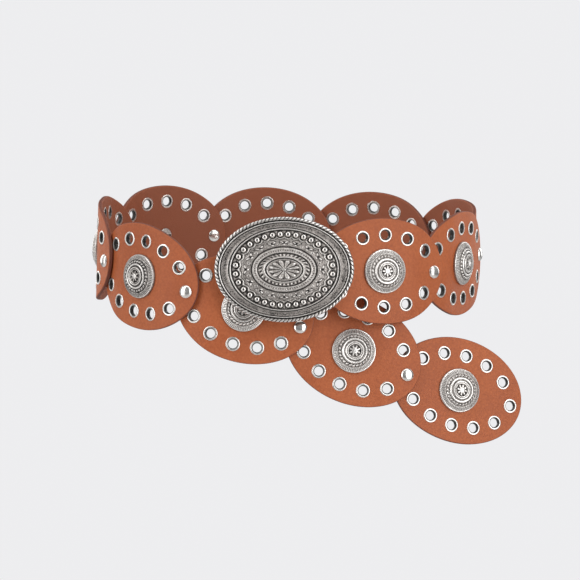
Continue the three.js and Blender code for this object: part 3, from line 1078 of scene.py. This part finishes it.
def buckle_front():
    """The casting's front: nested ovals, each point pushed out by its ring's height and ornament.
    The rings near the scallops swing in round each bead as the hump of a sine wave. The finish
    follows the relief and is darker over the channel. Painted shadow darkens a ring round each
    bead's foot, most on its inner side, and painted shade darkens the cove."""
    angle = even_angles(buckle_sides, bead_ring)
    share = np.arange(buckle_sides) / buckle_sides
    at = np.linspace(0, ring_at[-1], int(ring_at[-1] / ring_spacing) + 1)[:, None]
    relief = buckle_relief(at, share, angle)
    height = np.interp(at, ring_at, ring_height) + relief
    hump = np.abs(np.sin(np.pi * bead_count * share))
    swung = at - scallop_depth * hump * ridge(at, **scallop_reach)
    across = swung * np.cos(angle)
    up = np.interp(swung, ring_at, ring_up) * np.sin(angle)
    beside = beside_nearest(share, bead_count, bead_pitch, start=0.5)
    # Painted shadow round each bead's foot, weaker on its outer side.
    bead_shade = 0.60 * band(np.hypot(beside, swung - bead_ring), 1.3, 1.6, 2.1, 2.7)
    bead_shade = bead_shade * (1 - 0.6 * climb(swung, 30.6, 31.6))
    # Besides the relief's patina, painted shadow round the beads and painted shade in the cove
    # lower the finish.
    finish = 0.5 + relief / buckle_polish_rise - band(at, *channel_band) * (0.10 + bead_shade)
    finish = finish + ridge(at, **scallop_finish) + ridge(at, **cove_painted_shade)
    return over_dish(across, up, height), np.clip(finish, 0, 1)


past_rim = {"half_width": 44.6, "half_height": 33.6}
back_rings = (43.3, 43.5, 43.5, 43.2, 42.6, 38.0, 32.0, 26.0, 20.0, 14.0, 7.0, 0.0)
wall_heights = (2.3, 1.8, 0.6, 0.2)
back_finish = 0.45


def buckle_back():
    """The side wall behind the rope and the plain back, in to its middle."""
    angle = even_angles(buckle_sides, bead_ring)
    at = np.array(back_rings)[:, None]
    height = np.zeros_like(at)
    height[: len(wall_heights), 0] = wall_heights
    half_widths = np.append(ring_at, past_rim["half_width"])
    half_heights = np.append(ring_up, past_rim["half_height"])
    across = at * np.cos(angle)
    up = np.interp(at, half_widths, half_heights) * np.sin(angle)
    return over_dish(across, up, height), np.full(across.shape, back_finish)


twist_strands = 92
twist_half_width = 43.5
twist_half_height = 32.5
twist_height = 1.7
twist_radius = 1.15
twist_pinch = 0.26
twist_spacing_ring = 43.2
twist_columns = 768
twist_rows = 15


def rope_edge():
    """A two-strand twist round the rim: a tube whose radius swells and pinches as each strand
    comes round, the strand turning once round the tube for every other one that it passes."""
    share = np.arange(twist_columns) / twist_columns
    angle = even_angles(twist_columns, twist_spacing_ring)
    turn = np.linspace(0, 2 * np.pi, twist_rows)[:, None]
    strand = np.abs(np.cos(np.pi * (twist_strands * share + turn / np.pi)))
    radius = twist_radius * (1 - twist_pinch + twist_pinch * np.sqrt(strand))
    inward = radius * np.cos(turn)
    across = (twist_half_width - inward) * np.cos(angle)
    up = (twist_half_height - inward) * np.sin(angle)
    height = twist_height + radius * np.sin(turn)
    return over_dish(across, up, height), np.clip(strand * 2.4 - 0.7, 0, 1)


bead_radius = 1.8
bead_height = 2.9
bead_sides = 16
bead_polish = 1.3
dimple_radians = 0.46
# The dimple's rows: its radius, how far it is sunk, and its finish, which paints a dark reflection
# on the bead's crown.
dimple_rows_painted_dark = table(
    ("radius", "sunk", "finish"),
    (0.0, 0.45, 0.0),
    (0.4, 0.39, 0.05),
    (0.65, 0.26, 0.5),
)


def beads():
    """Round beads sunk a third deep in the channel, each with a dimple in its crown that is painted
    dark: a painted dark reflection in the middle of a polished ball."""
    turn = np.linspace(dimple_radians, np.pi, bead_sides // 2 + 1)
    ball = [(row["radius"], bead_radius - row["sunk"]) for row in dimple_rows_painted_dark]
    ball += [(bead_radius * np.sin(t), bead_radius * np.cos(t)) for t in turn]
    ball = turned_surface(ball, bead_sides)
    finish = np.full(ball.shape[:2], bead_polish)
    finish[: len(dimple_rows_painted_dark)] = [[row["finish"]] for row in dimple_rows_painted_dark]
    half_height = np.interp(bead_ring, ring_at, ring_up)
    places = ellipse(bead_ring, half_height, even_angles(bead_count, bead_ring, 0.5))
    return [ball + over_dish(across, up, bead_height) for across, up in places], finish


hook_finish = 0.7
hook_place = 3
hook_radius = 1.7
hook_corner = 1.2
hook_gap = 0.8
hook_sides = 20
lip_thickness = 0.9
corner_thicknesses = (1.6, 1.45, 1.3, 1.15, 1.0, lip_thickness)
lip_rows = table(
    ("length", "width", "thickness"),
    (2.4, 1.7, lip_thickness),
    (3.4, 1.7, lip_thickness),
    (4.4, 1.7, lip_thickness),
    (5.2, 1.55, 0.85),
    (5.8, 1.2, 0.7),
    (6.1, 0.7, 0.4),
    (6.12, 0.0, 0.0),
)


def swept_tube(path, widths, thicknesses, sides):
    """A rounded bar along a path that stays in one upright plane: an oval section with its width
    level, carried square to the path."""
    level = np.array([1.0, 0.0, 0.0])
    side = unit(np.cross(level, unit(np.gradient(path, axis=0))))
    angle = round_angles(sides)
    width = widths[:, None, None] * np.cos(angle)[:, None] * level
    depth = thicknesses[:, None, None] * np.sin(angle)[:, None] * side[:, None, :]
    return path[:, None, :] + width + depth


def hook():
    """The soldered hook: a post through the eyelet, then a flattened lip turned up behind."""
    ninth = next(disc for disc in discs if disc["name"] == "09")
    place = np.append(hole_middles()[hook_place], -half_thickness - hook_gap - lip_thickness)
    across, up, out = buckle_axes @ (lay(ninth, place) - buckle_middle)
    post_top = 0.6 - dish_drop(across, up)
    post = np.linspace(post_top - 0.2, out + hook_corner + 0.2, 5)
    bend = np.linspace(0, np.pi / 2, len(corner_thicknesses))
    sections = [(0.0, post_top, 0.0, 0.0)]
    sections += [(0.0, z, hook_radius, hook_radius) for z in (post_top - 0.02, *post)]
    sections += [
        (hook_corner * (1 - np.cos(b)), out + hook_corner * (1 - np.sin(b)), hook_radius, thickness)
        for b, thickness in zip(bend, corner_thicknesses)
    ]
    sections += [(row["length"], out, row["width"], row["thickness"]) for row in lip_rows]
    rise, height, widths, thicknesses = np.array(sections).T
    path = np.stack([np.full(len(sections), across), up + rise, height], axis=-1)
    return swept_tube(path, widths, thicknesses, hook_sides)


buckle_metal = antique_metal("antique_silver_buckle", polish=0.0, grain_strength=0.6)
front, front_mask = buckle_front()
back, back_mask = buckle_back()
rope, rope_mask = rope_edge()
hook_surface = hook()
hook_mask = np.full(hook_surface.shape[:2], hook_finish)
bead_surfaces, bead_mask = beads()
# The buckle's mask holds its relief's finish, with painted shade round the beads and in the cove,
# and painted dark reflections on the beads' crowns.
parts = [np.concatenate([front, back]), rope, hook_surface] + bead_surfaces
masks = [np.concatenate([front_mask, back_mask]), rope_mask, hook_mask] + [bead_mask] * bead_count
piece = add_piece(
    "cast_buckle",
    [part @ buckle_axes + buckle_middle for part in parts],
    masks,
    "relief",
    buckle_metal,
)
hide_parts("buckle")

# The buckle's stud
# A plated rivet holds the buckle to the head of the first disc. It has a low cap behind the
# leather, and the casting hides its plain front end.
stud_gap = 0.55
stud_bevel = 0.2
head_middle = lay(discs[0], head_rivet)
across, up, out = buckle_axes @ (head_middle - buckle_middle)
stud_top = -dish_drop(across, up) - out - stud_gap
stud_outline = [
    (0.0, stud_top),
    (rivet_shank - stud_bevel, stud_top),
    (rivet_shank, stud_top - stud_bevel),
    (rivet_shank, -half_thickness),
]
stud = turned_surface(stud_outline + back_cap_outline(half_thickness + rest_gap), rivet_sides)
piece = add_polished("buckle_stud", stud @ axes_along(discs[0]["head_normal"]) + head_middle)
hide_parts("buckle_rivet")
